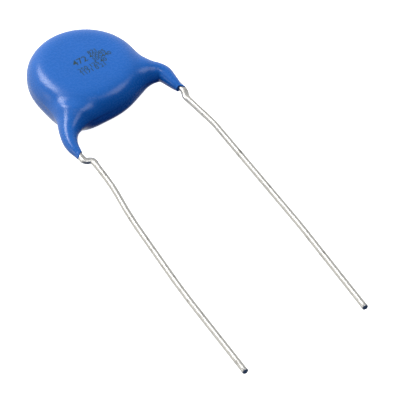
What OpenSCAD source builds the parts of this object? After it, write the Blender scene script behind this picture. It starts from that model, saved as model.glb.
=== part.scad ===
// Radial ceramic disc capacitor, dipped in epoxy, lying on its back.
// The disc's axis is Z and the leads run towards -Y.
// The origin is on the flat of the back, under the centre of the disc.

/* [Ceramic disc] */
// Diameter of the bare ceramic disc
ceramic_d = 9.2; // [8:0.1:9.4]
// Thickness of the bare ceramic disc
ceramic_t = 1.6; // [1.2:0.1:1.7]
// Bare ceramic left round each electrode, which keeps the two faces apart
electrode_margin = 0.4; // [0.2:0.05:0.8]
// Thickness of the fired silver on each face
electrode_t = 0.04; // [0.02:0.01:0.08]

/* [Epoxy coating] */
// Diameter of the coated disc
coating_d = 11.2; // [11:0.1:13]
// Thickness of the coated disc, from the flat back to the flat front
coating_t = 3.9; // [3.9:0.1:5]
// Radius of the rounded rim
rim_r = 1.55; // [1.3:0.05:1.8]
// How far the faces have fallen away where they meet the rim
face_crown = 0.3; // [0.1:0.05:0.4]
// Radius of the soft edge between a flat face and the rest
face_edge_r = 0.15; // [0.1:0.05:0.6]
// Radius of each leg of coating where it ends on the wire
leg_tip_r = 0.4; // [0.4:0.02:0.6]
// Radius of the left leg of coating where it runs into the disc
left_leg_r = 1.22; // [1:0.02:1.4]
// Radius of the right leg of coating where it runs into the disc
right_leg_r = 1.04; // [0.9:0.02:1.4]
// Length over which a leg of coating tapers
leg_taper = 5.75; // [4:0.25:7]
// How much the left leg of coating swells towards the face its lead lies on
left_swell = 0.6; // [0:0.05:0.9]
// How much the right leg of coating swells towards the face its lead lies on
right_swell = 0.15; // [0:0.05:0.6]
// Distance from the rim out to where a leg begins to swell
swell_out = 1.7; // [1.2:0.1:2.2]
// Length over which a leg swells
swell_len = 2.3; // [1.5:0.1:3]
// Length of the cone in which a leg of coating thins out on the wire
leg_feather = 0.8; // [0.4:0.1:1.5]
// Reach of the run-in between the disc and the left leg
left_run_in = 3.5; // [1.5:0.1:4.5]
// Reach of the run-in between the disc and the right leg
right_run_in = 2.5; // [1.5:0.1:4.5]
// Gap that shrinkage leaves between the epoxy and what it seals in
seal_gap = 0.015; // [0.015:0.005:0.03]

/* [Leads] */
// Diameter of the tinned wire
wire_d = 0.6; // [0.4:0.05:0.7]
// Distance between the leads where they leave the coating
root_pitch = 13.1; // [12.6:0.1:14]
// Distance from the disc's centre down to the end of the left leg of coating
left_leg_end = 8.7; // [8:0.1:10]
// Distance from the disc's centre down to the end of the right leg of coating
right_leg_end = 6.55; // [6.3:0.05:8]
// Angle between the left lead's line on the disc and -Y
left_spread = 45; // [40:1:50]
// Angle between the right lead's line on the disc and -Y
right_spread = 59; // [50:1:62]
// Bend radius of the left lead inside its leg of coating
left_bend_r = 4.4; // [1.2:0.1:5]
// Bend radius of the right lead inside its leg of coating
right_bend_r = 1.2; // [0.8:0.1:1.4]
// Angle of the step that takes each lead from mid-plane up to its face
step_angle = 50; // [40:1:60]
// Bend radius of that step
step_bend_r = 0.6; // [0.5:0.05:0.8]
// Gap between the ceramic's edge and the step
step_gap = 0.1; // [0.05:0.05:0.2]
// Length of lead soldered to each electrode
solder_lap = 5.6; // [3:0.1:7]

/* [Free ends] */
// Length of the left lead from its coating to its cut tip, along the wire
left_lead_len = 32.3; // [28:0.1:45]
// Length of the right lead from its coating to its cut tip, along the wire
right_lead_len = 33.8; // [28:0.1:45]
// Straight wire between the coating and the crimp in the left lead
left_crimp_gap = 0.8; // [0.6:0.05:2]
// Straight wire between the coating and the crimp in the right lead
right_crimp_gap = 0.35; // [0.3:0.05:2]
// Angle of the crimp in the left lead
left_crimp_angle = 72; // [30:1:75]
// Angle of the crimp in the right lead
right_crimp_angle = 26; // [20:1:60]
// Straight wire across the crimp in the left lead
left_crimp_len = 0.08; // [0.05:0.01:0.4]
// Straight wire across the crimp in the right lead
right_crimp_len = 0.45; // [0.05:0.05:0.8]
// Bend radius of the crimp in the left lead
left_crimp_r = 0.46; // [0.4:0.02:0.8]
// Bend radius of the crimp in the right lead
right_crimp_r = 1.2; // [0.6:0.1:1.5]
// Chamfer left by the cutter at the tips
tip_chamfer = 0.08; // [0.02:0.02:0.15]

/* [Solder] */
// Height of the solder over the electrode
solder_h = 0.74; // [0.7:0.02:0.8]
// Width of the solder at the electrode
solder_w = 1.7; // [1.2:0.1:2.2]
// Thickness of the solder under the wire
solder_film = 0.05; // [0.05:0.01:0.08]

/* [Hidden] */

// The two leads, and the two faces of the disc. The left lead is soldered to
// the front and the right lead to the rear, as a hairpin of wire clips the disc.
LEFT = 0;
RIGHT = 1;
FRONT = 1;
REAR = -1;

wire_r = wire_d / 2;
mid_z = coating_t / 2;
ceramic_r = ceramic_d / 2;
electrode_r = ceramic_r - electrode_margin;
face_z = ceramic_t / 2 + electrode_t;
wire_z = face_z + solder_film + wire_r;

// Facets of the ceramic disc, of round wire, and of the room for it in the epoxy,
// where each facet of a bend turns no more than this many degrees
disc_fn = 120;
$fn = 48;
seal_fn = 24;
seal_turn = 7;

// The wire swells by this much in its bends, and each straight runs on into them
bend_swell = 0.002;
bend_lap = 0.02;

// The coating's skin is laid over rings that fan out from an upright axis below
// the legs, and are spaced by an even angle
fan_y = max(left_leg_end, right_leg_end) + 0.8;
fan_start = 1;
fan_step = 0.3;
fan_end = fan_y + coating_d / 2;
ring_count = 60;
ring_points = 36;
skin_precision = 0.0005;
stride_gap = 0.15;
// The flats of the faces are cut this far under their smooth form
flat_ease = 0.02;

// Slack bends that the free wires took on being pulled from their tape, each as
// straight length, turn away from the other lead in degrees, bend radius
slack = [[[2.6, 6.0, 20], [2.5, -4.2, 28], [8.0, -2.7, 60]],
         [[3.6, -6.5, 10], [14.5, -1.6, 40]]];
// Heading of each lead as it leaves the coating and as it leaves its crimp, in
// degrees from -Y, away from the other lead
exit_heading = [3, 2];
run_heading = [6, 2];

leg_end = [left_leg_end, right_leg_end];
spread = [left_spread, right_spread];
bend_r = [left_bend_r, right_bend_r];
run_in = [left_run_in, right_run_in];
leg_root_r = [left_leg_r, right_leg_r];
swell = [left_swell, right_swell];
lead_len = [left_lead_len, right_lead_len];
crimp_gap = [left_crimp_gap, right_crimp_gap];
crimp_angle = [left_crimp_angle, right_crimp_angle];
crimp_len = [left_crimp_len, right_crimp_len];
crimp_r = [left_crimp_r, right_crimp_r];
lead_face = [FRONT, REAR];

// Plans of one lead have x away from the other lead and y along the part
function along(heading) = [sin(heading), -cos(heading)];
function across(heading) = [cos(heading), sin(heading)];

// Where the lead leaves the coating
function exit_point(lead) = [root_pitch / 2, -leg_end[lead]];
// Distance from the disc's centre to the corner where the lead turns, which is
// where its line on the disc meets its line down the leg
function corner_reach(lead) =
    let (slope = tan(exit_heading[lead]))
    (exit_point(lead).x + exit_point(lead).y * slope) / (sin(spread[lead]) - cos(spread[lead]) * slope);
// Length of straight wire that the bend at the corner takes from each side
function corner_cut(lead) = bend_r[lead] * tan((spread[lead] - exit_heading[lead]) / 2);
// Start of the bend, as a distance from the disc's centre
function bend_start(lead) = corner_reach(lead) - corner_cut(lead);
// End of the bend
function bend_end(lead) =
    corner_reach(lead) * along(spread[lead]) + corner_cut(lead) * along(exit_heading[lead]);

// The step from a face of the disc to the mid-plane
step_rise = 2 * step_bend_r * (1 - cos(step_angle));
step_len = (wire_z - step_rise) / sin(step_angle);
step_reach = 2 * step_bend_r * sin(step_angle) + step_len * cos(step_angle);
step_start = ceramic_r + step_gap;
swell_end = coating_d / 2 + swell_out - swell_len;

// The solder lies on the electrode, from its edge inwards
solder_r = (pow(solder_w / 2, 2) + pow(solder_h, 2)) / (2 * solder_h);
solder_out = electrode_r - solder_w / 2;
solder_in = solder_out - solder_lap;

// Bends of the crimp: inwards, across, and back out to the run
function crimp(lead) =
    [[norm(bend_end(lead) - exit_point(lead)) + crimp_gap[lead], -crimp_angle[lead], crimp_r[lead], 0],
     [crimp_len[lead], crimp_angle[lead] + run_heading[lead] - exit_heading[lead], crimp_r[lead], 0]];
function wire_length(steps, i = 0) =
    i == len(steps) ? 0 : steps[i][0] + abs(steps[i][1]) * PI / 180 * steps[i][2] + wire_length(steps, i + 1);
// The whole lead from its inner end to its tip. Each entry is a straight length,
// a turn in degrees, its bend radius, and the roll of the bend out of the plane.
function lead_steps(lead) =
    let (down = -lead_face[lead] * step_angle,
         inner = [[step_start - solder_in, down, step_bend_r, 90],
                  [step_len, -down, step_bend_r, 90],
                  [bend_start(lead) - step_start - step_reach,
                   exit_heading[lead] - spread[lead], bend_r[lead], 0]],
         free = concat(crimp(lead), [for (bend = slack[lead]) concat(bend, 0)]),
         covered = norm(bend_end(lead) - exit_point(lead)),
         tail = lead_len[lead] + covered - wire_length(free))
    concat(inner, free, [[tail - tip_chamfer, 0, wire_r, 0]]);

// A bend of wire that starts along +Z and turns towards +X
module elbow(turn, radius) {
    rotate([0, 0, turn < 0 ? 180 : 0])
        translate([radius, 0, 0])
            mirror([1, 0, 0])
                rotate([90, 0, 0])
                    rotate_extrude(angle = abs(turn))
                        translate([radius, 0])
                            circle(r = wire_r + bend_swell);
}

// Wire along +Z that follows its steps and ends in a chamfered cut
module wire(steps, i = 0) {
    length = steps[i][0];
    turn = steps[i][1];
    radius = steps[i][2];
    roll = steps[i][3];
    if (i < len(steps) - 1) {
        translate([0, 0, -bend_lap])
            cylinder(h = length + 2 * bend_lap, r = wire_r);
        translate([0, 0, length])
            rotate([0, 0, roll]) {
                elbow(turn, radius);
                translate([sign(turn) * radius * (1 - cos(turn)), 0, radius * sin(abs(turn))])
                    rotate([0, turn, 0])
                        rotate([0, 0, -roll])
                            wire(steps, i + 1);
            }
    } else
        rotate_extrude()
            polygon([[0, -bend_lap], [wire_r, -bend_lap], [wire_r, length],
                     [wire_r - tip_chamfer, length + tip_chamfer], [0, length + tip_chamfer]]);
}

// The same line as rings of points, each placed by a matrix: along the straights,
// and round the bends in small turns
function shift(v) = [[1, 0, 0, v.x], [0, 1, 0, v.y], [0, 0, 1, v.z], [0, 0, 0, 1]];
function tilt(a) = [[cos(a), 0, sin(a), 0], [0, 1, 0, 0], [-sin(a), 0, cos(a), 0], [0, 0, 0, 1]];
function spin(a) = [[cos(a), -sin(a), 0, 0], [sin(a), cos(a), 0, 0], [0, 0, 1, 0], [0, 0, 0, 1]];
function bent(turn, radius, roll) =
    spin(roll) * shift([sign(turn) * radius * (1 - cos(turn)), 0, radius * sin(abs(turn))])
    * tilt(turn) * spin(-roll);
function stations(steps, at = shift([0, 0, 0]), i = 0) =
    i == len(steps) ? [at] :
    let (turn = steps[i][1],
         count = max(ceil(abs(turn) / seal_turn), 1),
         corner = at * shift([0, 0, steps[i][0]]))
    concat([at],
           [for (k = [0:count - 1]) corner * bent(turn * k / count, steps[i][2], steps[i][3])],
           stations(steps, corner * bent(turn, steps[i][2], steps[i][3]), i + 1));

// Closes a row of rings into a skin, with a point beyond each end
module closed_row(rings, first, last) {
    count = len(rings[0]);
    end = len(rings) * count;
    sides = [for (i = [0:len(rings) - 1]) for (j = [0:count - 1])
        let (a = i * count + j,
             b = i * count + (j + 1) % count)
        each i < len(rings) - 1 ? [[a, a + count, b], [b, a + count, b + count]] : [[a, end + 1, b]]];
    cap = [for (j = [0:count - 1]) [j, (j + 1) % count, end]];
    polyhedron(concat([for (ring = rings) each ring], [first, last]), concat(sides, cap));
}

// Room in the epoxy for a lead, from its inner end to past the end of the coating
module lead_room(lead) {
    steps = lead_steps(lead);
    covered = [for (i = [0:2]) steps[i]];
    places = stations(concat(covered, [[steps[3][0] + leg_feather, 0, wire_r, 0]]));
    r = (wire_r + seal_gap) / cos(180 / seal_fn);
    rim = concat([for (j = [0:seal_fn - 1])
        let (t = 360 * (j + 0.5) / seal_fn)
        [r * cos(t), r * sin(t), 0, 1]], [[0, 0, 0, 1]]);
    rings = [for (place = places) [for (v = rim) let (p = place * v) [p.x, p.y, p.z]]];
    on_lead_line(lead)
        closed_row([for (ring = rings) [for (j = [0:seal_fn - 1]) ring[j]]],
                   rings[0][seal_fn], rings[len(rings) - 1][seal_fn]);
}

// Puts wire that starts along +Z on a lead's line over its face of the disc
module on_lead_line(lead) {
    mirror([lead == LEFT ? 1 : 0, 0, 0])
        translate([0, 0, mid_z])
            rotate([0, 0, spread[lead]])
                rotate([90, 0, 0])
                    translate([0, lead_face[lead] * wire_z, solder_in])
                        children();
}

module lead(lead) {
    color([0.78, 0.78, 0.76])
        on_lead_line(lead)
            wire(lead_steps(lead));
}

module ceramic_disc(gap = 0) {
    color([0.72, 0.62, 0.48])
        translate([0, 0, mid_z])
            cylinder(h = ceramic_t + 2 * gap, r = ceramic_r + gap, center = true, $fn = disc_fn);
}

module electrode(face, gap = 0) {
    color([0.85, 0.85, 0.83])
        translate([0, 0, mid_z + face * (ceramic_t + electrode_t) / 2])
            cylinder(h = electrode_t + 2 * gap, r = electrode_r + gap, center = true, $fn = disc_fn);
}

// A low bead along the wire, blunt at both ends, flat on the electrode
module bead(lead, gap = 0) {
    block = 2 * solder_out;
    mirror([lead == LEFT ? 1 : 0, 0, 0])
        translate([0, 0, mid_z])
            rotate([0, 0, spread[lead]])
                translate([0, -solder_out + solder_lap / 2, 0])
                    intersection() {
                        translate([0, 0, lead_face[lead] * (face_z + solder_h - solder_r)]) {
                            intersection() {
                                rotate([90, 0, 0])
                                    cylinder(h = block, r = solder_r + gap, center = true);
                                sphere(r = solder_lap / 2 + solder_w / 2 + gap);
                            }
                        }
                        translate([0, 0, lead_face[lead] * (face_z - gap + block / 2)])
                            cube(block, center = true);
                    }
}

module solder(lead) {
    color([0.62, 0.63, 0.65])
        difference() {
            bead(lead);
            lead(lead);
        }
}

// The skin of the coating lies where the gaps below come to zero: a rounded
// disc and two tapered legs, which run into each other as wet epoxy does, cut
// off by flat faces. Points are measured from the centre of the ceramic disc.

// Joins two gaps, with a hollow run-in of the given reach between their forms
function merge(a, b, reach) = min(a, b) - pow(max(1 - abs(a - b) / reach, 0), 3) * reach / 6;

// Gap to the rounded disc, which stands proud of its flat faces in the middle
function disc_gap(p) =
    let (out = norm([p.x, p.y]),
         fall = pow(2 * out / coating_d, 2),
         half = mid_z + face_edge_r * (1 - fall) - face_crown * fall,
         x = out - coating_d / 2 + rim_r,
         z = abs(p.z) - half + rim_r)
    norm([max(x, 0), max(z, 0)]) + min(max(x, z), 0) - rim_r;

// Gap to a leg's tapered rod, at a distance from its line and a length up along it
function rod_gap(lead, distance, length) =
    distance - leg_tip_r - (leg_root_r[lead] - leg_tip_r) * min(length / leg_taper, 1);
// Share of a change from 0 to 1 that starts at one value and ends at another
function eased(value, start, end) =
    let (share = min(max((value - start) / (end - start), 0), 1))
    share * share * (3 - 2 * share);

// Gap to a leg: straight up from its end, round the bend, and on to the face of
// the disc that its lead is soldered to
function leg_gap(p, lead) =
    let (q = [p.x, p.y],
         leg_len = leg_line[lead][0],
         centre = leg_line[lead][1],
         bend_len = leg_line[lead][2],
         down = leg_line[lead][3],
         disc_line = leg_line[lead][4],
         end = leg_line[lead][5],
         climb = min(max((end - q) * down, 0), leg_len),
         sweep = q - centre,
         turn = min(max(atan2(sweep.y, sweep.x), exit_heading[lead]), spread[lead]),
         slide = min(max(q * disc_line, solder_out), leg_line[lead][6]),
         lift = lead_face[lead] * wire_z * eased(slide, step_start + step_reach, step_start),
         swelling = swell[lead] * eased(slide, swell_end + swell_len, swell_end))
    min(rod_gap(lead, norm([norm(q - end + climb * down), p.z]), climb),
        rod_gap(lead, norm([norm(sweep - bend_r[lead] * across(turn)), p.z]),
                leg_len + (turn - exit_heading[lead]) * bend_r[lead] * PI / 180),
        rod_gap(lead, norm([norm(q - slide * disc_line), p.z - lift]),
                leg_len + bend_len + leg_line[lead][6] - slide) - swelling);

// Lines of both legs: length, centre and length of the bend, directions down the
// leg and over the disc, end, and start of the bend
leg_line = [for (lead = [LEFT, RIGHT])
    [norm(bend_end(lead) - exit_point(lead)),
     bend_end(lead) - bend_r[lead] * across(exit_heading[lead]),
     bend_r[lead] * (spread[lead] - exit_heading[lead]) * PI / 180,
     along(exit_heading[lead]), along(spread[lead]), exit_point(lead), bend_start(lead)]];

function skin_gap(p) =
    let (left = merge(disc_gap(p), leg_gap([-p.x, p.y, p.z], LEFT), left_run_in),
         both = merge(left, leg_gap(p, RIGHT), right_run_in))
    -merge(-both, mid_z + flat_ease - abs(p.z), face_edge_r);

// How far the skin is from a point inside it: strides as long as the gap while it
// is wide, then steps along the chord of the last two
function skin_reach(p, way, reach = 0, last = 0, last_gap = 0, tries = 60) =
    let (gap = skin_gap(p + reach * way))
    tries == 0 || abs(gap) < skin_precision ? reach :
    let (next = gap < -stride_gap || reach == last ? reach - gap
                : reach - gap * (reach - last) / (gap - last_gap))
    skin_reach(p, way, next, reach, gap, tries - 1);

// A ring of points round the coating, in an upright plane through the fan's axis
function skin_ring(angle) =
    let (out = [cos(angle), sin(angle), 0],
         fan = [0, -fan_y, 0],
         gaps = [for (r = [fan_start:fan_step:fan_end]) [skin_gap(fan + r * out), r]],
         deepest = min([for (gap = gaps) gap[0]]),
         inside = fan + [for (gap = gaps) if (gap[0] == deepest) gap[1]][0] * out,
         far = skin_reach(inside, out),
         near = skin_reach(inside, -out),
         centre = inside + (far - near) / 2 * out,
         half_w = (far + near) / 2,
         half_h = skin_reach(centre, [0, 0, 1]))
    [for (i = [0:ring_points - 1])
        let (t = 360 * i / ring_points,
             arm = half_w * cos(t) * out + [0, 0, half_h * sin(t)],
             way = arm / norm(arm),
             p = centre + skin_reach(centre, way) * way)
        [p.x, p.y, min(max(p.z, -mid_z), mid_z)]];

module coating_skin() {
    ends = [180 - atan2(fan_y - leg_end[LEFT], root_pitch / 2),
            atan2(fan_y - leg_end[RIGHT], root_pitch / 2)];
    rings = [for (i = [0:ring_count]) skin_ring(ends[0] + (ends[1] - ends[0]) * i / ring_count)];
    tips = [for (lead = [LEFT, RIGHT])
        let (p = exit_point(lead) + leg_feather * along(exit_heading[lead]))
        [lead == LEFT ? -p.x : p.x, p.y, 0]];
    translate([0, 0, mid_z])
        closed_row(rings, tips[LEFT], tips[RIGHT]);
}

// Room in the coating for all that it seals in, and for the wire that leaves it
module sealed() {
    ceramic_disc(seal_gap);
    for (face = [FRONT, REAR])
        electrode(face, seal_gap);
    for (lead = [LEFT, RIGHT]) {
        bead(lead, seal_gap, $fn = seal_fn);
        lead_room(lead);
    }
}

// Brought to its full thickness as one closed skin, inside and out
module epoxy_coating() {
    color([0.16, 0.36, 0.78])
        resize([0, 0, coating_t])
            difference() {
                coating_skin();
                sealed();
            }
}

epoxy_coating();
ceramic_disc();
electrode(FRONT);  // front_electrode
electrode(REAR);  // rear_electrode
solder(LEFT);  // front_solder
solder(RIGHT);  // rear_solder
lead(LEFT);  // left_lead
lead(RIGHT);  // right_lead
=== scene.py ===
"""A radial ceramic disc capacitor, dipped in glossy blue epoxy and lying on its back.

The coated disc's axis is Z and its two tinned leads run towards -Y. All sizes in the
classes below are in millimetres; meshes are handed to Blender in metres.
"""

import logging
import math
from dataclasses import astuple, dataclass, field
from enum import Enum

import bpy
import numpy as np
from mathutils import Matrix, Vector

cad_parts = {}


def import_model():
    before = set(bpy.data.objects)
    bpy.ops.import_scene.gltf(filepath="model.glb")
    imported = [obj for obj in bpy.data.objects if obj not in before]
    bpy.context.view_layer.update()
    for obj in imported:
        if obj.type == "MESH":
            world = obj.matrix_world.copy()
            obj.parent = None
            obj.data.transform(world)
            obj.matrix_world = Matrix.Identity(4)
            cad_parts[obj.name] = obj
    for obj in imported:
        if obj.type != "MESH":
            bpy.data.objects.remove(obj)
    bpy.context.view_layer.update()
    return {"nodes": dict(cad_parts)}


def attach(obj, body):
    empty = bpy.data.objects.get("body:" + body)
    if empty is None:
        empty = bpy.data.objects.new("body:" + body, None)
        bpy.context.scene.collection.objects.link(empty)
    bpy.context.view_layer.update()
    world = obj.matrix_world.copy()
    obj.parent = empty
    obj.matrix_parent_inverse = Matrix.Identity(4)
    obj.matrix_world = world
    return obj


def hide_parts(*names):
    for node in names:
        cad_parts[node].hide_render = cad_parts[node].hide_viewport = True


LOG = logging.getLogger("capacitor")
MM = 0.001


class Side(Enum):
    """The two leads, by the side they leave the coating on."""

    LEFT = -1
    RIGHT = 1


class Face(Enum):
    """The two faces of the disc."""

    FRONT = 1
    REAR = -1


class Axis(Enum):
    """The axes that wire is turned about, by their place in a vector."""

    X = 0
    Y = 1
    Z = 2


# ---------------------------------------------------------------- colour and nodes


def linear(hex_colour: str) -> tuple[float, float, float, float]:
    """Turns an sRGB hex colour into the linear colour that shaders take.

    Args:
        hex_colour: Six hex digits, with or without a leading hash.

    Returns:
        Linear red, green and blue, and an alpha of 1.
    """
    digits = hex_colour.lstrip("#")
    channels = [int(digits[i : i + 2], 16) / 255 for i in (0, 2, 4)]
    r, g, b = (c / 12.92 if c <= 0.04045 else ((c + 0.055) / 1.055) ** 2.4 for c in channels)
    return (r, g, b, 1.0)


def add_node(
    owner: bpy.types.Material | bpy.types.World,
    kind: str,
    settings: dict[str, object] | None = None,
    values: dict[str | int, object] | None = None,
    links: dict[str | int, bpy.types.NodeSocket] | None = None,
) -> bpy.types.Node:
    """Adds one shader node with its settings, socket values and links.

    Args:
        owner: The material or world whose node tree takes the node.
        kind: Blender's name for the node's type.
        settings: Properties of the node itself.
        values: Constants for input sockets, by name or number.
        links: Output sockets to link into input sockets, by name or number.

    Returns:
        The new node.
    """
    tree = owner.node_tree
    node = tree.nodes.new(kind)
    for key, value in (settings or {}).items():
        setattr(node, key, value)
    for key, value in (values or {}).items():
        node.inputs[key].default_value = value
    for key, socket in (links or {}).items():
        tree.links.new(socket, node.inputs[key])
    return node


def new_material(name: str) -> bpy.types.Material:
    """Makes an empty node material.

    Args:
        name: The material's name.

    Returns:
        The material, with an empty node tree.
    """
    material = bpy.data.materials.new(name)
    material.use_nodes = True
    material.node_tree.nodes.clear()
    return material


def close_material(material: bpy.types.Material, shader: bpy.types.Node) -> bpy.types.Material:
    """Links a shader to the material's surface and returns the material."""
    add_node(material, "ShaderNodeOutputMaterial", links={"Surface": shader.outputs[0]})
    return material


# ---------------------------------------------------------------------- finishes


@dataclass(frozen=True)
class DippedEpoxy:
    """Pigmented epoxy powder coat, dipped and cured: a wet, slightly uneven gloss."""

    colour: str = "#1B72D2"
    deep_colour: str = "#1A6BC4"
    mottle_mm: float = 2.4
    peel_mm: float = 0.55
    speck_mm: float = 0.22

    def build(self) -> bpy.types.Material:
        """Builds the coating's material.

        Returns:
            The finished material.
        """
        material = new_material("epoxy_dipped_gloss_blue")
        place = add_node(material, "ShaderNodeTexCoord").outputs["Object"]
        # The pigment settles unevenly in the dip, which gives the eye a faint cloudiness
        mottle = add_node(
            material, "ShaderNodeTexNoise",
            values={"Scale": 1 / (self.mottle_mm * MM), "Detail": 3.0, "Roughness": 0.5},
            links={"Vector": place},
        )
        tint = add_node(
            material, "ShaderNodeMix", {"data_type": "RGBA"},
            {6: linear(self.colour), 7: linear(self.deep_colour)},
            {0: mottle.outputs["Fac"]},
        )
        # The cured skin has a shallow orange peel, which softens each highlight's edge
        peel = add_node(
            material, "ShaderNodeTexNoise",
            values={"Scale": 1 / (self.peel_mm * MM), "Detail": 2.0, "Roughness": 0.45},
            links={"Vector": place},
        )
        # Grains of filler lie just under the gloss and roughen it here and there
        specks = add_node(
            material, "ShaderNodeTexNoise",
            values={"Scale": 1 / (self.speck_mm * MM), "Detail": 1.0},
            links={"Vector": place},
        )
        rough = add_node(
            material, "ShaderNodeMapRange",
            values={"From Min": 0.35, "From Max": 0.7, "To Min": 0.25, "To Max": 0.3},
            links={"Value": specks.outputs["Fac"]},
        )
        height = add_node(
            material, "ShaderNodeMath", {"operation": "MULTIPLY_ADD"}, {1: 0.05},
            {0: specks.outputs["Fac"], 2: peel.outputs["Fac"]},
        )
        bump = add_node(
            material, "ShaderNodeBump",
            values={"Strength": 0.03, "Distance": 0.01 * MM},
            links={"Height": height.outputs[0]},
        )
        shader = add_node(
            material, "ShaderNodeBsdfPrincipled",
            values={"IOR": 1.5},
            links={
                "Base Color": tint.outputs[2],
                "Roughness": rough.outputs[0],
                "Normal": bump.outputs[0],
            },
        )
        return close_material(material, shader)


@dataclass(frozen=True)
class TinnedWire:
    """Copper wire, drawn and hot tinned: a bright soft metal with fine draw lines."""

    colour: str = "#CDCBC5"
    worn_colour: str = "#7F7C77"
    line_mm: float = 0.05
    run_mm: float = 4.0
    nick_mm: float = 0.9

    def build(self) -> bpy.types.Material:
        """Builds the leads' material.

        Returns:
            The finished material.
        """
        material = new_material("tin_hot_dipped_on_drawn_copper")
        place = add_node(material, "ShaderNodeTexCoord").outputs["Object"]
        # The leads run along Y, so the lines left by the die are drawn out along it
        along = add_node(
            material, "ShaderNodeVectorMath", {"operation": "MULTIPLY"},
            {1: (1 / (self.line_mm * MM), 1 / (self.run_mm * MM), 1 / (self.line_mm * MM))},
            {0: place},
        )
        lines = add_node(
            material, "ShaderNodeTexNoise", values={"Scale": 1.0, "Detail": 2.0},
            links={"Vector": along.outputs[0]},
        )
        # The tin froze in faint lumps, and its oxide greys it in patches
        patches = add_node(
            material, "ShaderNodeTexNoise",
            values={"Scale": 1 / (self.nick_mm * MM), "Detail": 4.0, "Roughness": 0.6},
            links={"Vector": place},
        )
        grey = add_node(
            material, "ShaderNodeMapRange",
            values={"From Min": 0.56, "From Max": 0.74, "To Min": 0.0, "To Max": 0.8},
            links={"Value": patches.outputs["Fac"]},
        )
        tint = add_node(
            material, "ShaderNodeMix", {"data_type": "RGBA"},
            {6: linear(self.colour), 7: linear(self.worn_colour)},
            {0: grey.outputs[0]},
        )
        rough = add_node(
            material, "ShaderNodeMapRange",
            values={"From Min": 0.3, "From Max": 0.7, "To Min": 0.34, "To Max": 0.5},
            links={"Value": lines.outputs["Fac"]},
        )
        height = add_node(
            material, "ShaderNodeMath", {"operation": "MULTIPLY_ADD"}, {1: 0.5},
            {0: lines.outputs["Fac"], 2: patches.outputs["Fac"]},
        )
        bump = add_node(
            material, "ShaderNodeBump",
            values={"Strength": 0.25, "Distance": 0.01 * MM},
            links={"Height": height.outputs[0]},
        )
        shader = add_node(
            material, "ShaderNodeBsdfPrincipled",
            values={"Metallic": 1.0},
            links={
                "Base Color": tint.outputs[2],
                "Roughness": rough.outputs[0],
                "Normal": bump.outputs[0],
            },
        )
        return close_material(material, shader)


@dataclass(frozen=True)
class GrainyFinish:
    """A sealed inner piece: one colour with grain, either a fired or a frozen surface."""

    name: str
    colour: str
    grain_colour: str
    grain_mm: float
    roughness: float
    metallic: float = 0.0
    ior: float = 1.5
    roughness_spread: float = 0.08
    depth_mm: float = 0.01

    def build(self) -> bpy.types.Material:
        """Builds the material of a sealed piece.

        Returns:
            The finished material.
        """
        material = new_material(self.name)
        place = add_node(material, "ShaderNodeTexCoord").outputs["Object"]
        grain = add_node(
            material, "ShaderNodeTexNoise",
            values={"Scale": 1 / (self.grain_mm * MM), "Detail": 5.0, "Roughness": 0.6},
            links={"Vector": place},
        )
        tint = add_node(
            material, "ShaderNodeMix", {"data_type": "RGBA"},
            {6: linear(self.colour), 7: linear(self.grain_colour)},
            {0: grain.outputs["Fac"]},
        )
        rough = add_node(
            material, "ShaderNodeMapRange",
            values={
                "To Min": self.roughness - self.roughness_spread,
                "To Max": self.roughness + self.roughness_spread,
            },
            links={"Value": grain.outputs["Fac"]},
        )
        bump = add_node(
            material, "ShaderNodeBump",
            values={"Strength": 0.4, "Distance": self.depth_mm * MM},
            links={"Height": grain.outputs["Fac"]},
        )
        constants: dict[str | int, object] = {"Metallic": self.metallic}
        if self.metallic == 0:
            constants["IOR"] = self.ior
        shader = add_node(
            material, "ShaderNodeBsdfPrincipled",
            values=constants,
            links={
                "Base Color": tint.outputs[2],
                "Roughness": rough.outputs[0],
                "Normal": bump.outputs[0],
            },
        )
        return close_material(material, shader)


# Pressed titanate powder fires to a dull biscuit brown with a fine speckle
CERAMIC = GrainyFinish(
    "barium_titanate_pressed_and_fired", "#B39A74", "#8C7350", grain_mm=0.08, roughness=0.7, ior=1.6
)
# Screened silver paste fires to a pale metal, matt from the weave of the screen
SILVER = GrainyFinish(
    "silver_paste_screened_and_fired", "#D9D7D0", "#BDBAB2", grain_mm=0.06, roughness=0.45, metallic=1.0
)
# Solder freezes bright, with a soft grey grain where its crystals meet
SOLDER = GrainyFinish(
    "solder_tin_frozen_bright", "#B9B9BA", "#8E8E90", grain_mm=0.25, roughness=0.32, metallic=1.0
)


@dataclass(frozen=True)
class PadInk:
    """Dark marking ink, stamped on the cured epoxy with a pad: thin, matt and uneven."""

    colour: str = "#143C38"
    thin_colour: str = "#225070"
    grain_mm: float = 0.12

    def build(self) -> bpy.types.Material:
        """Builds the marking's material.

        Returns:
            The finished material.
        """
        material = new_material("ink_pad_printed_dark")
        place = add_node(material, "ShaderNodeTexCoord").outputs["Object"]
        # The pad lays the ink thinly in places, where the blue shows through it
        grain = add_node(
            material, "ShaderNodeTexNoise",
            values={"Scale": 1 / (self.grain_mm * MM), "Detail": 3.0, "Roughness": 0.6},
            links={"Vector": place},
        )
        thin = add_node(
            material, "ShaderNodeMapRange",
            values={"From Min": 0.5, "From Max": 0.68, "To Min": 0.0, "To Max": 0.8},
            links={"Value": grain.outputs["Fac"]},
        )
        tint = add_node(
            material, "ShaderNodeMix", {"data_type": "RGBA"},
            {6: linear(self.colour), 7: linear(self.thin_colour)},
            {0: thin.outputs[0]},
        )
        bump = add_node(
            material, "ShaderNodeBump",
            values={"Strength": 0.3, "Distance": 0.004 * MM},
            links={"Height": grain.outputs["Fac"]},
        )
        shader = add_node(
            material, "ShaderNodeBsdfPrincipled",
            values={"Roughness": 0.5, "IOR": 1.5},
            links={"Base Color": tint.outputs[2], "Normal": bump.outputs[0]},
        )
        return close_material(material, shader)


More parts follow.
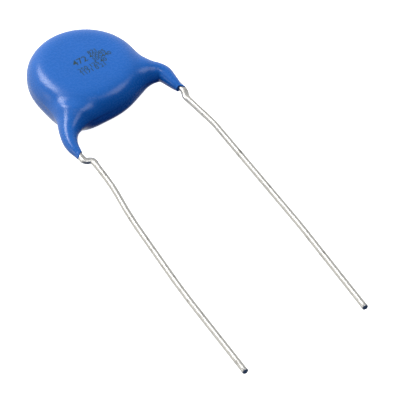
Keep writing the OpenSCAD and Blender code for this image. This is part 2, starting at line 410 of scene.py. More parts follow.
@dataclass(frozen=True)
class OpalFloor:
    """Opal acrylic over a lamp: a pale matt ground whose glow fills most of a shadow."""

    colour: str = "#E6E6E6"
    glow: float = 1.3
    grain_mm: float = 0.4

    def build(self) -> bpy.types.Material:
        """Builds the floor's material.

        Returns:
            The finished material.
        """
        material = new_material("acrylic_opal_matt_lit_from_below")
        place = add_node(material, "ShaderNodeTexCoord").outputs["Object"]
        # The sheet's face is faintly grained, which keeps its glow matt and even
        grain = add_node(
            material, "ShaderNodeTexNoise",
            values={"Scale": 1 / (self.grain_mm * MM), "Detail": 2.0},
            links={"Vector": place},
        )
        bump = add_node(
            material, "ShaderNodeBump",
            values={"Strength": 0.05, "Distance": 0.01 * MM},
            links={"Height": grain.outputs["Fac"]},
        )
        shader = add_node(
            material, "ShaderNodeBsdfPrincipled",
            values={
                "Base Color": linear(self.colour),
                "Roughness": 0.85,
                "IOR": 1.49,
                "Emission Color": linear(self.colour),
                "Emission Strength": self.glow,
            },
            links={"Normal": bump.outputs[0]},
        )
        return close_material(material, shader)


# ------------------------------------------------------------------------ meshes


def make_piece(
    name: str,
    points_mm: np.ndarray,
    faces: list[list[int]],
    material: bpy.types.Material,
    smooth: bool = True,
) -> bpy.types.Object:
    """Makes a mesh object from points in millimetres.

    Args:
        name: The piece's name.
        points_mm: One row of x, y and z for each point.
        faces: Point numbers of each face.
        material: The piece's finish.
        smooth: Whether its faces are shaded smooth.

    Returns:
        The new object, linked to the scene.
    """
    mesh = bpy.data.meshes.new(name)
    mesh.from_pydata((points_mm * MM).tolist(), [], faces)
    mesh.validate()
    mesh.materials.append(material)
    mesh.polygons.foreach_set("use_smooth", [smooth] * len(mesh.polygons))
    mesh.update()
    piece = bpy.data.objects.new(name, mesh)
    bpy.context.scene.collection.objects.link(piece)
    return piece


def tube_faces(rings: int, count: int) -> list[list[int]]:
    """Joins rings of points into a closed tube, with a fan to a point at each end.

    Args:
        rings: How many rings there are.
        count: How many points each ring has.

    Returns:
        Quads between the rings and triangles to the two end points, which are numbered
        after the last ring's points, first end first.
    """
    start, end = rings * count, rings * count + 1
    last = (rings - 1) * count
    faces = []
    for i in range(rings - 1):
        for j in range(count):
            a, b = i * count + j, i * count + (j + 1) % count
            faces.append([a, b, b + count, a + count])
    faces += [[start, (j + 1) % count, j] for j in range(count)]
    faces += [[end, last + j, last + (j + 1) % count] for j in range(count)]
    return faces


def eased(value: np.ndarray, start: float, end: float) -> np.ndarray:
    """Returns the share of a change from 0 at one value to 1 at another."""
    share = np.clip((value - start) / (end - start), 0, 1)
    return share**2 * (3 - 2 * share)


def shifted(x: float = 0.0, y: float = 0.0, z: float = 0.0) -> np.ndarray:
    """Makes the matrix of a move.

    Args:
        x: Distance along X.
        y: Distance along Y.
        z: Distance along Z.

    Returns:
        The 4 by 4 matrix.
    """
    matrix = np.eye(4)
    matrix[:3, 3] = x, y, z
    return matrix


def turned(axis: Axis, degrees: float) -> np.ndarray:
    """Makes the matrix of a turn.

    Args:
        axis: The axis that it turns about.
        degrees: How far it turns.

    Returns:
        The 4 by 4 matrix.
    """
    a = math.radians(degrees)
    i, j = (axis.value + 1) % 3, (axis.value + 2) % 3
    matrix = np.eye(4)
    matrix[i, i] = matrix[j, j] = math.cos(a)
    matrix[j, i], matrix[i, j] = math.sin(a), -math.sin(a)
    return matrix


# ----------------------------------------------------------------- leads, in plan


@dataclass(frozen=True)
class SolderedEnd:
    """The end of each wire, soldered over a face of the disc and stepped to mid-plane."""

    wire_r: float = 0.3
    ceramic_d: float = 9.2
    ceramic_t: float = 1.6
    electrode_t: float = 0.04
    electrode_margin: float = 0.4
    solder_w: float = 1.7
    solder_lap: float = 5.6
    solder_film: float = 0.05
    step_gap: float = 0.1
    step_angle: float = 50.0
    step_bend_r: float = 0.6

    @property
    def wire_z(self) -> float:
        """Height of the soldered wire's middle over the mid-plane."""
        return self.ceramic_t / 2 + self.electrode_t + self.solder_film + self.wire_r

    @property
    def solder_out(self) -> float:
        """Outer end of the solder, as a distance from the disc's centre."""
        return self.ceramic_d / 2 - self.electrode_margin - self.solder_w / 2

    @property
    def wire_in(self) -> float:
        """Inner end of the wire, which is also that of the solder."""
        return self.solder_out - self.solder_lap

    @property
    def step_start(self) -> float:
        """Where the wire starts down to the mid-plane, just past the ceramic's edge."""
        return self.ceramic_d / 2 + self.step_gap

    @property
    def step_len(self) -> float:
        """Length of straight wire between the two bends of the step."""
        bends_rise = 2 * self.step_bend_r * (1 - math.cos(math.radians(self.step_angle)))
        return (self.wire_z - bends_rise) / math.sin(math.radians(self.step_angle))

    @property
    def step_end(self) -> float:
        """Where the wire is back at the mid-plane."""
        a = math.radians(self.step_angle)
        return self.step_start + 2 * self.step_bend_r * math.sin(a) + self.step_len * math.cos(a)


@dataclass
class LeadLine:
    """The line that one lead follows in plan, over the disc and down its leg of coating.

    Plans of a lead have x away from the other lead and y along the part, and headings
    are in degrees from -Y, away from the other lead.
    """

    side: Side
    leg_end: float
    spread: float
    bend_r: float
    exit_heading: float
    root_pitch: float = 13.1
    end: SolderedEnd = SolderedEnd()

    def along(self, heading: float) -> np.ndarray:
        """Returns the unit vector of a heading."""
        a = math.radians(heading)
        return np.array([math.sin(a), -math.cos(a)])

    def across(self, heading: float) -> np.ndarray:
        """Returns the unit vector square to a heading, away from the other lead."""
        a = math.radians(heading)
        return np.array([math.cos(a), math.sin(a)])

    @property
    def exit_point(self) -> np.ndarray:
        """Where the lead leaves the coating."""
        return np.array([self.root_pitch / 2, -self.leg_end])

    @property
    def corner_reach(self) -> float:
        """How far the corner where the lead turns down is from the disc's centre.

        Returns:
            The distance to where the line over the disc meets the line down the leg.
        """
        slope = math.tan(math.radians(self.exit_heading))
        a = math.radians(self.spread)
        x, y = self.exit_point
        return (x + y * slope) / (math.sin(a) - math.cos(a) * slope)

    @property
    def corner_cut(self) -> float:
        """Length of straight wire that the bend takes from each side of the corner."""
        return self.bend_r * math.tan(math.radians(self.spread - self.exit_heading) / 2)

    @property
    def bend_start(self) -> float:
        """Start of the bend, as a distance from the disc's centre."""
        return self.corner_reach - self.corner_cut

    @property
    def bend_end(self) -> np.ndarray:
        """End of the bend."""
        corner = self.corner_reach * self.along(self.spread)
        return corner + self.corner_cut * self.along(self.exit_heading)

    @property
    def bend_centre(self) -> np.ndarray:
        """Centre of the bend."""
        return self.bend_end - self.bend_r * self.across(self.exit_heading)

    @property
    def covered(self) -> float:
        """Length of straight lead from the bend to the end of the coating."""
        return float(np.linalg.norm(self.bend_end - self.exit_point))


# ------------------------------------------------------------------------ coating


@dataclass
class Leg:
    """One leg of coating: a tapered rod that runs up its lead's line and into the disc."""

    line: LeadLine
    root_r: float
    run_in: float
    swell: float
    # Height over the mid-plane where it runs into the disc, less than zero if it dips
    rise: float
    # How much nearer the other leg its line lies than its lead does
    inward: float = 0.0
    tip_r: float = 0.4
    taper: float = 5.75
    fullness: float = 0.8
    # Where it begins to swell and where it is full, as distances from the disc's centre
    swelling: tuple[float, float] = (7.3, 5.0)

    def rod_gap(self, away: np.ndarray, length: np.ndarray) -> np.ndarray:
        """Gap to the rod at a distance from its line, a length up along it."""
        grown = np.clip(length / self.taper, 0, 1) ** self.fullness
        return away - self.tip_r - (self.root_r - self.tip_r) * grown

    def gap(self, points: np.ndarray) -> np.ndarray:
        """Gap to the leg.

        Args:
            points: One row of x, y and z for each, measured from the ceramic's centre.

        Returns:
            The gap of each point to the leg's skin, less than zero inside it.
        """
        line, end = self.line, self.line.end
        q = points[:, :2] * np.array([line.side.value, 1.0]) + np.array([self.inward, 0.0])
        z = points[:, 2]
        down, disc_line = line.along(line.exit_heading), line.along(line.spread)
        climb = np.clip((line.exit_point - q) @ down, 0, line.covered)
        sweep = q - line.bend_centre
        turn = np.clip(np.degrees(np.arctan2(sweep[:, 1], sweep[:, 0])), line.exit_heading, line.spread)
        ring = line.bend_r * np.column_stack([np.cos(np.radians(turn)), np.sin(np.radians(turn))])
        bend_run = line.bend_r * np.radians(turn - line.exit_heading)
        bend_len = line.bend_r * math.radians(line.spread - line.exit_heading)
        slide = np.clip(q @ disc_line, end.solder_out, line.bend_start)
        lift = self.rise * eased(slide, end.step_end, end.step_start)

        straight = np.linalg.norm(np.column_stack([q - line.exit_point + climb[:, None] * down, z]), axis=1)
        round_bend = np.linalg.norm(np.column_stack([sweep - ring, z]), axis=1)
        on_disc = np.linalg.norm(np.column_stack([q - slide[:, None] * disc_line, z - lift]), axis=1)
        root_gap = self.rod_gap(on_disc, line.covered + bend_len + line.bend_start - slide)
        return np.minimum.reduce([
            self.rod_gap(straight, climb),
            self.rod_gap(round_bend, line.covered + bend_run),
            root_gap - self.swell * eased(slide, *self.swelling),
        ])


@dataclass(frozen=True)
class Rim:
    """How a face rounds off into the rim: its width, its height and how square it is."""

    width: float
    height: float
    power: float


@dataclass
class Coating:
    """The dipped skin: a disc with a round rim and two legs that run down the leads.

    Its skin lies where the gaps of its forms come to zero. The forms run into each other
    as wet epoxy does, and a soft cap and the flat back cut them off.
    """

    left: Leg
    right: Leg
    disc_d: float = 11.18
    thickness: float = 3.9
    front_rim: Rim = Rim(2.3, 1.9, 2.0)
    back_rim: Rim = Rim(1.3, 1.3, 2.3)
    # The faces stand proud by the dome in the middle and fall by their crown at the rim
    face_dome: float = 0.2
    front_crown: float = 0.05
    back_crown: float = 0.3
    # The cap's height over the thickness, its fall at the rim, and how that slackens
    cap_rise: float = 0.03
    cap_crown: float = 0.25
    cap_ease: float = 0.35
    front_edge_r: float = 0.8
    back_edge_r: float = 0.4
    # The rings fan out from an upright axis this far from the disc's centre
    fan_y: float = 9.5
    fan_start: float = 1.0
    fan_step: float = 0.1
    rings: int = 280
    ring_points: int = 144
    # The search for the skin strides by the gap while it is wide, then takes chords
    tries: int = 80
    wide_gap: float = 0.15
    precision: float = 1e-6
    least_change: float = 1e-12
    # How far out each ring of a lip lies, as a share of the way, and its radius
    lip_rings: tuple[tuple[float, float], ...] = (
        (0.2, 0.405), (0.45, 0.385), (0.7, 0.362), (0.88, 0.342), (0.97, 0.322), (1.0, 0.305), (0.98, 0.27),
    )
    # How far past the end of its leg a lip reaches, and by how much more on the outside
    lip_len: float = 0.28
    lip_slant: float = 0.26

    @property
    def mid_z(self) -> float:
        """Height of the mid-plane over the flat back."""
        return self.thickness / 2

    def merge(self, a: np.ndarray, b: np.ndarray, reach: float) -> np.ndarray:
        """Joins two gaps, with a hollow run-in between their forms."""
        return np.minimum(a, b) - np.maximum(1 - np.abs(a - b) / reach, 0) ** 3 * reach / 6

    def disc_gap(self, points: np.ndarray) -> np.ndarray:
        """Gap to the rounded disc.

        Args:
            points: One row of x, y and z for each, measured from the ceramic's centre.

        Returns:
            The gap of each point to the disc's skin.
        """
        out = np.hypot(points[:, 0], points[:, 1])
        fall = (2 * out / self.disc_d) ** 2
        front = points[:, 2] > 0
        crown = np.where(front, self.front_crown, self.back_crown)
        half = self.mid_z + self.face_dome * (1 - fall) - crown * fall
        width, height, power = np.where(front[:, None], astuple(self.front_rim), astuple(self.back_rim)).T
        x = (out - self.disc_d / 2) / width + 1
        z = (np.abs(points[:, 2]) - half) / height + 1
        corner = (np.maximum(x, 0) ** power + np.maximum(z, 0) ** power) ** (1 / power)
        return height * (corner + np.minimum(np.maximum(x, z), 0) - 1)

    def gap(self, points: np.ndarray) -> np.ndarray:
        """Gap to the whole skin.

        Args:
            points: One row of x, y and z for each, measured from the ceramic's centre.

        Returns:
            The gap of each point to the skin, less than zero inside it.
        """
        both = self.merge(self.disc_gap(points), self.left.gap(points), self.left.run_in)
        both = self.merge(both, self.right.gap(points), self.right.run_in)
        fall = (points[:, 0] ** 2 + points[:, 1] ** 2) * (2 / self.disc_d) ** 2
        cap = self.mid_z + self.cap_rise - self.cap_crown * fall / (1 + self.cap_ease * fall)
        capped = -self.merge(-both, cap - points[:, 2], self.front_edge_r)
        return -self.merge(-capped, self.mid_z + points[:, 2], self.back_edge_r)

    def reach(self, start: np.ndarray, way: np.ndarray) -> np.ndarray:
        """Finds how far the skin is from points inside it.

        Args:
            start: The points inside.
            way: The unit direction of each.

        Returns:
            The distance of each point to the skin.
        """
        far = np.zeros(len(start))
        last, last_gap = far.copy(), far.copy()
        for step in range(self.tries):
            gap = self.gap(start + far[:, None] * way)
            change = gap - last_gap
            chord = np.where(np.abs(change) > self.least_change, change, 1.0)
            secant = gap * (far - last) / chord
            wide = (gap < -self.wide_gap) | (step == 0) | (far == last)
            stride = np.where(wide, -gap, -secant)
            stride = np.where(np.abs(gap) < self.precision, 0.0, stride)
            last, last_gap = far, gap
            far = far + stride
        return far

    def skin_rings(self) -> np.ndarray:
        """Lays rings over the skin, which fan out from an upright axis between the leads.

        Returns:
            An array of rings by points by x, y, z, from the left leg's end to the right's.
        """
        left, right = self.left.line, self.right.line
        first = math.pi - math.atan2(self.fan_y - left.leg_end, left.root_pitch / 2)
        last = math.atan2(self.fan_y - right.leg_end, right.root_pitch / 2)
        angles = np.linspace(first, last, self.rings)
        out = np.stack([np.cos(angles), np.sin(angles), np.zeros_like(angles)], 1)

        # The deepest point on each spoke of the fan lies well inside the skin
        hub = np.array([0.0, -self.fan_y, 0.0])
        radii = np.arange(self.fan_start, self.fan_y + self.disc_d / 2, self.fan_step)
        samples = hub + radii[None, :, None] * out[:, None, :]
        gaps = self.gap(samples.reshape(-1, 3)).reshape(self.rings, -1)
        inside = hub + radii[np.argmin(gaps, axis=1)][:, None] * out

        far, near = self.reach(inside, out), self.reach(inside, -out)
        centre = inside + ((far - near) / 2)[:, None] * out
        half_w = (far + near) / 2
        up = np.array([0.0, 0.0, 1.0])
        half_h = self.reach(centre, np.tile(up, (self.rings, 1)))
        t = np.linspace(0, 2 * math.pi, self.ring_points, endpoint=False)
        sideways = half_w[:, None, None] * np.cos(t)[None, :, None] * out[:, None, :]
        arm = sideways + half_h[:, None, None] * np.sin(t)[None, :, None] * up
        way = (arm / np.linalg.norm(arm, axis=2, keepdims=True)).reshape(-1, 3)
        starts = np.repeat(centre, self.ring_points, axis=0)
        skin = starts + self.reach(starts, way)[:, None] * way
        # The search may stop a hair below the flat back
        skin[:, 2] = np.maximum(skin[:, 2], -self.mid_z)
        return skin.reshape(self.rings, self.ring_points, 3)

    def lip(self, line: LeadLine, ring: np.ndarray) -> list[np.ndarray]:
        """Runs the end ring of a leg out to a slanted lip that closes on the wire.

        Args:
            line: The lead that the leg runs down.
            ring: The skin's last ring on this leg.

        Returns:
            The rings of the lip, in order away from the disc.
        """
        flip = np.array([line.side.value, 1.0])
        down = line.along(line.exit_heading) * flip
        out = line.across(line.exit_heading) * flip
        origin = line.exit_point * flip
        sideways = (ring[:, :2] - origin) @ out
        angle = np.arctan2(ring[:, 2], sideways)
        start = (ring[:, :2] - origin) @ down
        radius = np.hypot(sideways, ring[:, 2])
        edge = self.lip_len + self.lip_slant * np.cos(angle)
        rings = []
        for share, ring_r in self.lip_rings:
            run = start * (1 - share) + share * edge
            r = radius * (1 - share) + share * ring_r
            plan = origin + run[:, None] * down + (r * np.cos(angle))[:, None] * out
            rings.append(np.column_stack([plan, r * np.sin(angle)]))
        return rings

    def build(self, finish: bpy.types.Material) -> bpy.types.Object:
        """Builds the coating.

        Args:
            finish: The epoxy's material.

        Returns:
            The coating's object, which stands for the CAD node.
        """
        skin = self.skin_rings()
        rings = [
            *reversed(self.lip(self.left.line, skin[0])),
            *skin,
            *self.lip(self.right.line, skin[-1]),
        ]
        ends = np.array([rings[0].mean(axis=0), rings[-1].mean(axis=0)])
        points = np.concatenate([*rings, ends]) + np.array([0.0, 0.0, self.mid_z])
        piece = make_piece("dipped_coating", points, tube_faces(len(rings), self.ring_points), finish)
        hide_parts("epoxy_coating")
        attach(piece, "root")
        return piece

    def height_at(self, plan: np.ndarray) -> np.ndarray:
        """Height of the front over the flat back.

        Args:
            plan: One row of x and y for each point.

        Returns:
            The front's height at each.
        """
        start = np.column_stack([plan, np.zeros(len(plan))])
        up = np.tile([0.0, 0.0, 1.0], (len(plan), 1))
        return self.mid_z + self.reach(start, up)


# -------------------------------------------------------------------------- leads


@dataclass(frozen=True)
class Step:
    """A straight length of wire, and the bend that ends it."""

    length: float
    turn: float = 0.0
    radius: float = 0.0
    # The bend's plane, turned about the wire
    roll: float = 0.0

    def run_to(self, turn: float) -> float:
        """Length of wire from the step's start to where its bend has turned so far."""
        return self.length + abs(math.radians(turn)) * self.radius

    def bent(self, turn: float) -> np.ndarray:
        """Finds where the wire is in its bend.

        Args:
            turn: How far the bend has turned so far.

        Returns:
            The 4 by 4 matrix from the step's start.
        """
        a = math.radians(turn)
        aside = math.copysign(self.radius * (1 - math.cos(a)), turn)
        bend = shifted(x=aside, z=self.radius * abs(math.sin(a))) @ turned(Axis.Y, turn)
        return shifted(z=self.length) @ turned(Axis.Z, self.roll) @ bend @ turned(Axis.Z, -self.roll)


@dataclass(frozen=True)
class Crimp:
    """The kink that keeps the body off a board, pressed into the wire by a flat jaw."""

    gap: float
    angle: float
    length: float
    bend_r: float
    run_heading: float
    # The stretch that the jaw pressed, as lengths along the wire from its soldered end
    jaw: tuple[float, float]
    jaw_ease: float = 0.5
    pressed: float = 0.2

    def squash(self, runs: np.ndarray) -> np.ndarray:
        """Finds how much the wire is pressed.

        Args:
            runs: Lengths along the wire.

        Returns:
            How much wider and flatter it is at each, as a share.
        """
        first, last = self.jaw
        entry = eased(runs, first - self.jaw_ease, first)
        return self.pressed * entry * eased(runs, last + self.jaw_ease, last)


@dataclass
class Lead:
    """One tinned lead, from its soldered end through its crimp to its cut tip."""

    line: LeadLine
    node: str
    face: Face
    length: float
    crimp: Crimp
    # Slack bends that the free wire took on being pulled from its tape
    slack: tuple[Step, ...]
    tip_chamfer: float = 0.08
    # The burr left at the cut is rounded by this much in radius and length
    burr: tuple[float, float] = (0.02, 0.03)
    # Cut short by this much, which keeps the tip inside its solid's box
    trim: float = 0.0
    count: int = 40
    straight_pitch: float = 0.4
    bend_pitch: float = 3.0
    # A bend with this roll stands upright on the disc
    upright: float = 90.0

    def place(self) -> np.ndarray:
        """Puts wire that starts along +Z on this lead's line over its face.

        Returns:
            The 4 by 4 matrix.
        """
        end = self.line.end
        mirror = np.diag([self.line.side.value, 1.0, 1.0, 1.0])
        over_disc = turned(Axis.Z, self.line.spread) @ turned(Axis.X, 90.0)
        return mirror @ over_disc @ shifted(y=self.face.value * end.wire_z, z=end.wire_in)

    def steps(self) -> list[Step]:
        """Works out the wire's straights and bends.

        Returns:
            The steps, from the wire's soldered end to its tip.
        """
        line, end, crimp = self.line, self.line.end, self.crimp
        down = -self.face.value * end.step_angle
        inside = [
            Step(end.step_start - end.wire_in, down, end.step_bend_r, self.upright),
            Step(end.step_len, -down, end.step_bend_r, self.upright),
            Step(line.bend_start - end.step_end, line.exit_heading - line.spread, line.bend_r),
        ]
        free = [
            Step(line.covered + crimp.gap, -crimp.angle, crimp.bend_r),
            Step(crimp.length, crimp.angle + crimp.run_heading - line.exit_heading, crimp.bend_r),
            *self.slack,
        ]
        tail = self.length + line.covered - sum(step.run_to(step.turn) for step in free)
        return [*inside, *free, Step(tail - self.tip_chamfer - self.trim)]

    def stations(self) -> tuple[np.ndarray, np.ndarray]:
        """Walks along the wire.

        Returns:
            The 4 by 4 matrix of each ring, and how far along the wire each lies.
        """
        at, run = np.eye(4), 0.0
        mats, runs = [], []
        for step in self.steps():
            count = max(int(step.length / self.straight_pitch), 1)
            for z in np.linspace(0, step.length, count, endpoint=False):
                mats.append(at @ shifted(z=z))
                runs.append(run + z)
            if step.turn:
                count = max(int(abs(step.turn) / self.bend_pitch), 1)
                for turn in np.linspace(0, step.turn, count, endpoint=False):
                    mats.append(at @ step.bent(turn))
                    runs.append(run + step.run_to(turn))
            at = at @ step.bent(step.turn)
            run += step.run_to(step.turn)
        return np.array([*mats, at]), np.array([*runs, run])

    def ring(self, radius: float, squash: float = 0.0) -> np.ndarray:
        """Makes a ring of points round the wire.

        Args:
            radius: The ring's radius.
            squash: How much wider and flatter it is, as a share.

        Returns:
            A column of x, y, z and 1 for each point.
        """
        t = np.linspace(0, 2 * math.pi, self.count, endpoint=False)
        wide, high = radius * (1 + squash), radius * (1 - squash)
        return np.stack([wide * np.cos(t), high * np.sin(t), np.zeros_like(t), np.ones_like(t)])

    def build(self, finish: bpy.types.Material, mid_z: float) -> bpy.types.Object:
        """Builds the lead.

        Args:
            finish: The wire's material.
            mid_z: Height of the mid-plane over the flat back.

        Returns:
            The lead's object, which stands for the CAD node.
        """
        mats, runs = self.stations()
        wire_r = self.line.end.wire_r
        rings = [mat @ self.ring(wire_r, squash) for mat, squash in zip(mats, self.crimp.squash(runs))]
        for inset, out in (self.burr, (self.tip_chamfer, self.tip_chamfer)):
            rings.append(mats[-1] @ shifted(z=out) @ self.ring(wire_r - inset))
        place = self.place()
        rings = [(place @ ring)[:3].T for ring in rings]
        ends = np.array([rings[0].mean(axis=0), rings[-1].mean(axis=0)])
        points = np.concatenate([*rings, ends]) + np.array([0.0, 0.0, mid_z])
        faces = tube_faces(len(rings), self.count)
        if self.line.side is Side.LEFT:
            # The left lead is mirrored, so its faces are turned back to face outwards
            faces = [list(reversed(face)) for face in faces]
        piece = make_piece(self.node + "_wire", points, faces, finish)
        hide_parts(self.node)
        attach(piece, "root")
        return piece


# ------------------------------------------------------------ marking and inside


@dataclass(frozen=True)
class PrintedRow:
    """One row of the marking: its number, where it starts and how tall it is."""

    text: str
    left: float
    base: float
    height: float = 0.52


@dataclass
class ValueMark:
    """Rows of plain numbers printed on the front, which read with the leads down."""

    rows: tuple[PrintedRow, ...] = (
        PrintedRow("472", -1.25, -0.2, 0.8),
        PrintedRow("821", 0.75, 0.4),
        PrintedRow("40085", 0.62, -0.13),
        PrintedRow("300440", 0.62, -0.66),
        PrintedRow("250 125 40", -1.35, -1.19),
        PrintedRow("1171 0 21", -1.35, -1.72),
    )
    # The type's size over the height of its figures
    type_size: float = 1.35
    stroke_spread: float = 0.006
    ink_t: float = 0.003
    curve_steps: int = 4

    def outline(self, row: PrintedRow) -> tuple[np.ndarray, list[list[int]]]:
        """Lays one row out flat.

        Args:
            row: The row to lay out.

        Returns:
            The points of its figures and the point numbers of each face.
        """
        curve = bpy.data.curves.new("row_curve", "FONT")
        curve.body = row.text
        curve.size = row.height * self.type_size
        curve.extrude = self.ink_t
        curve.offset = self.stroke_spread
        curve.resolution_u = self.curve_steps
        source = bpy.data.objects.new("row_source", curve)
        bpy.context.scene.collection.objects.link(source)
        bpy.context.view_layer.update()
        flat = source.evaluated_get(bpy.context.evaluated_depsgraph_get()).to_mesh()
        points = np.array([v.co[:] for v in flat.vertices]) + np.array([row.left, row.base, 0.0])
        faces = [list(f.vertices) for f in flat.polygons]
        bpy.data.objects.remove(source)
        return points, faces

    def build(self, coating: Coating, finish: bpy.types.Material) -> bpy.types.Object:
        """Builds the marking on the coating's front.

        Args:
            coating: The coating that carries it.
            finish: The ink's material.

        Returns:
            The marking's object.
        """
        points, faces = np.empty((0, 3)), []
        for row in self.rows:
            row_points, row_faces = self.outline(row)
            faces += [[len(points) + i for i in face] for face in row_faces]
            points = np.concatenate([points, row_points])
        points[:, 2] += coating.height_at(points[:, :2])
        piece = make_piece("value_mark", points, faces, finish, smooth=False)
        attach(piece, "root")
        return piece


@dataclass
class SealedCore:
    """The pieces inside the coating, which keep their own solids."""

    finishes: dict[str, GrainyFinish] = field(
        default_factory=lambda: {
            "ceramic_disc": CERAMIC,
            "front_electrode": SILVER,
            "rear_electrode": SILVER,
            "front_solder": SOLDER,
            "rear_solder": SOLDER,
        }
    )

    def dress(self, nodes: dict[str, bpy.types.Object]) -> None:
        """Gives each sealed piece its finish.

        Args:
            nodes: The frame's nodes by name.
        """
        built = {finish.name: finish.build() for finish in dict.fromkeys(self.finishes.values())}
        for name, finish in self.finishes.items():
            solid = nodes[name]
            solid.data.materials.clear()
            solid.data.materials.append(built[finish.name])
            LOG.info("%s: %s", name, finish.name)


# ------------------------------------------------------------------------ studio


def towards(azimuth: float, elevation: float) -> Vector:
    """Finds the direction of a light or a camera from the part.

    Args:
        azimuth: Degrees round from -Y, the way that leads past +X.
        elevation: Degrees up from the floor.

    Returns:
        The unit vector towards it.
    """
    a, e = math.radians(azimuth), math.radians(elevation)
    return Vector((math.sin(a) * math.cos(e), -math.cos(a) * math.cos(e), math.sin(e)))


@dataclass(frozen=True)
class SoftLight:
    """A soft box: where it stands from the disc, how wide it looks and how bright it is."""

    name: str
    azimuth: float
    elevation: float
    half_angles: tuple[float, float]
    radiance: float
    colour: str = "#FFFFFF"
    distance: float = 0.9

    def build(self, target: Vector) -> bpy.types.Object:
        """Builds the light, turned towards the target.

        Args:
            target: The point it faces, in metres.

        Returns:
            The light's object.
        """
        lamp = bpy.data.lights.new(self.name, "AREA")
        lamp.shape = "RECTANGLE"
        lamp.size, lamp.size_y = (2 * self.distance * math.tan(math.radians(h)) for h in self.half_angles)
        lamp.energy = self.radiance * math.pi * lamp.size * lamp.size_y
        lamp.color = linear(self.colour)[:3]
        light = bpy.data.objects.new(self.name, lamp)
        back = towards(self.azimuth, self.elevation)
        light.location = target + back * self.distance
        light.rotation_mode = "QUATERNION"
        light.rotation_quaternion = (-back).to_track_quat("-Z", "Y")
        bpy.context.scene.collection.objects.link(light)
        return light


@dataclass
class Room:
    """The room's own light: pale walls behind the part and a dark, blue one in front."""

    front: str = "#2E4364"
    behind_low: str = "#F4F4F2"
    behind_high: str = "#B4B6BA"
    # How far back, and how far up, each change of tone starts and ends
    back_fade: tuple[float, float] = (-0.2, 0.5)
    high_fade: tuple[float, float] = (0.25, 0.75)

    def build(self) -> None:
        """Builds the room as the world's light."""
        scene = bpy.context.scene
        scene.view_settings.view_transform = "Standard"
        world = bpy.data.worlds.new("studio_room")
        world.use_nodes = True
        world.node_tree.nodes.clear()
        way = add_node(world, "ShaderNodeTexCoord").outputs["Generated"]
        axes = add_node(world, "ShaderNodeSeparateXYZ", links={"Vector": way})
        back = add_node(
            world, "ShaderNodeMapRange", {"interpolation_type": "SMOOTHSTEP"},
            {"From Min": self.back_fade[0], "From Max": self.back_fade[1]}, {"Value": axes.outputs["Y"]},
        )
        high = add_node(
            world, "ShaderNodeMapRange", {"interpolation_type": "SMOOTHSTEP"},
            {"From Min": self.high_fade[0], "From Max": self.high_fade[1]}, {"Value": axes.outputs["Z"]},
        )
        behind = add_node(
            world, "ShaderNodeMix", {"data_type": "RGBA"},
            {6: linear(self.behind_low), 7: linear(self.behind_high)}, {0: high.outputs[0]},
        )
        colour = add_node(
            world, "ShaderNodeMix", {"data_type": "RGBA"},
            {6: linear(self.front)}, {0: back.outputs[0], 7: behind.outputs[2]},
        )
        glow = add_node(world, "ShaderNodeBackground", links={"Color": colour.outputs[2]})
        add_node(world, "ShaderNodeOutputWorld", links={"Surface": glow.outputs[0]})
        scene.world = world


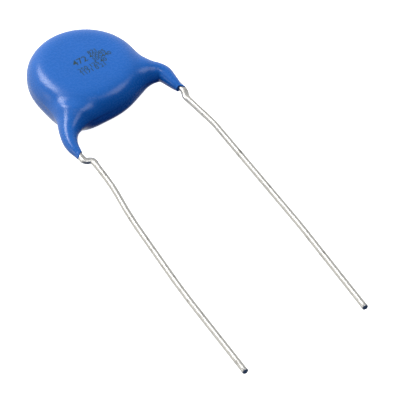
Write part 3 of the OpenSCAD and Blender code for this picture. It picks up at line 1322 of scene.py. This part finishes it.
@dataclass
class Studio:
    """An opal floor, soft boxes, a pale room and a long lens."""

    azimuth: float = -34.8
    elevation: float = 45.0
    distance: float = 0.430
    focal_px: float = 4493.5
    frame_px: float = 400.0
    # Where the disc's centre falls in the frame, from its left and from its top
    disc_px: tuple[float, float] = (85.0, 74.7)
    sensor_mm: float = 36.0
    clip: tuple[float, float] = (0.02, 20.0)
    # The floor is flat out to a share of its half width, and curves up from there
    floor_half: float = 1.5
    floor_flat: float = 0.8
    floor_rise: float = 0.4
    floor_points: int = 48
    room: Room = field(default_factory=Room)
    lights: tuple[SoftLight, ...] = (
        SoftLight("soft_box_behind_left", 198.0, 47.0, (12.0, 11.0), 8.5),
        SoftLight("soft_box_overhead", -35.0, 78.0, (12.0, 7.0), 6.5),
        SoftLight("soft_box_right", 60.0, 50.0, (14.0, 12.0), 2.4),
        SoftLight("soft_box_left", 250.0, 14.0, (4.0, 9.0), 7.0),
    )

    def camera(self, target: Vector) -> bpy.types.Object:
        """Sets up the camera so that the target falls at its place in the frame.

        Args:
            target: The disc's centre, in metres.

        Returns:
            The camera's object.
        """
        a = math.radians(self.azimuth)
        back = towards(self.azimuth, self.elevation)
        right = Vector((math.cos(a), math.sin(a), 0.0))
        up = back.cross(right)
        px = self.distance / self.focal_px
        dx, dy = ((place - self.frame_px / 2) * px for place in self.disc_px)
        lens = bpy.data.cameras.new("camera")
        lens.sensor_width = self.sensor_mm
        lens.lens = self.focal_px * self.sensor_mm / self.frame_px
        lens.clip_start, lens.clip_end = self.clip
        camera = bpy.data.objects.new("camera", lens)
        camera.location = target + back * self.distance - right * dx + up * dy
        axes = Matrix((right, up, back)).transposed()
        camera.rotation_mode = "QUATERNION"
        camera.rotation_quaternion = axes.to_quaternion()
        bpy.context.scene.collection.objects.link(camera)
        bpy.context.scene.camera = camera
        return camera

    def floor(self) -> bpy.types.Object:
        """Builds the opal floor, which curves up gently far from the part.

        Returns:
            The floor's object.
        """
        n, half = self.floor_points, self.floor_half
        grid = np.linspace(-half, half, n)
        x, y = np.meshgrid(grid, grid, indexing="ij")
        far = np.clip(np.hypot(x, y) / half - self.floor_flat, 0, None)
        points = np.stack([x, y, far**2 * self.floor_rise], 2).reshape(-1, 3) / MM
        faces = [
            [i * n + j, (i + 1) * n + j, (i + 1) * n + j + 1, i * n + j + 1]
            for i in range(n - 1)
            for j in range(n - 1)
        ]
        ground = make_piece("opal_floor", points, faces, OpalFloor().build())
        # The floor shows in no reflection and bounces no light, so its glow stays off the part
        ground.visible_diffuse = False
        ground.visible_glossy = False
        ground.visible_shadow = False
        return ground

    def build(self, target: Vector) -> None:
        """Builds the whole studio round the target.

        Args:
            target: The disc's centre, in metres.
        """
        self.floor()
        self.room.build()
        for light in self.lights:
            light.build(target)
        self.camera(target)


def main() -> None:
    """Loads the frame and builds every piece in order."""
    logging.basicConfig(level=logging.INFO, format="%(name)s: %(message)s")
    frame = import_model()

    left_line = LeadLine(Side.LEFT, leg_end=8.7, spread=45.0, bend_r=4.4, exit_heading=3.0)
    right_line = LeadLine(Side.RIGHT, leg_end=6.55, spread=59.0, bend_r=1.2, exit_heading=2.0)
    coating = Coating(
        left=Leg(left_line, root_r=1.15, run_in=4.3, swell=0.08, rise=-0.9),
        right=Leg(right_line, root_r=1.3, run_in=2.3, swell=0.2, rise=-0.5, inward=0.2),
    )
    Studio().build(Vector((0.0, 0.0, coating.mid_z * MM)))
    LOG.info("studio ready")

    coating.build(DippedEpoxy().build())
    LOG.info("coating built")
    tin = TinnedWire().build()
    leads = (
        Lead(
            left_line, "left_lead", Face.FRONT, length=32.3, trim=0.0005,
            crimp=Crimp(gap=0.8, angle=72.0, length=0.08, bend_r=0.46, run_heading=6.0, jaw=(14.6, 16.0)),
            slack=(Step(2.6, 6.0, 20.0), Step(2.5, -4.2, 28.0), Step(8.0, -2.7, 60.0)),
        ),
        Lead(
            right_line, "right_lead", Face.REAR, length=33.8,
            crimp=Crimp(gap=0.35, angle=26.0, length=0.45, bend_r=1.2, run_heading=2.0, jaw=(9.9, 14.4)),
            slack=(Step(3.6, -6.5, 10.0), Step(14.5, -1.6, 40.0)),
        ),
    )
    for lead in leads:
        lead.build(tin, coating.mid_z)
        LOG.info("%s built", lead.node)
    ValueMark().build(coating, PadInk().build())
    LOG.info("marking built")
    SealedCore().dress(frame["nodes"])


if __name__ == "__main__":
    main()
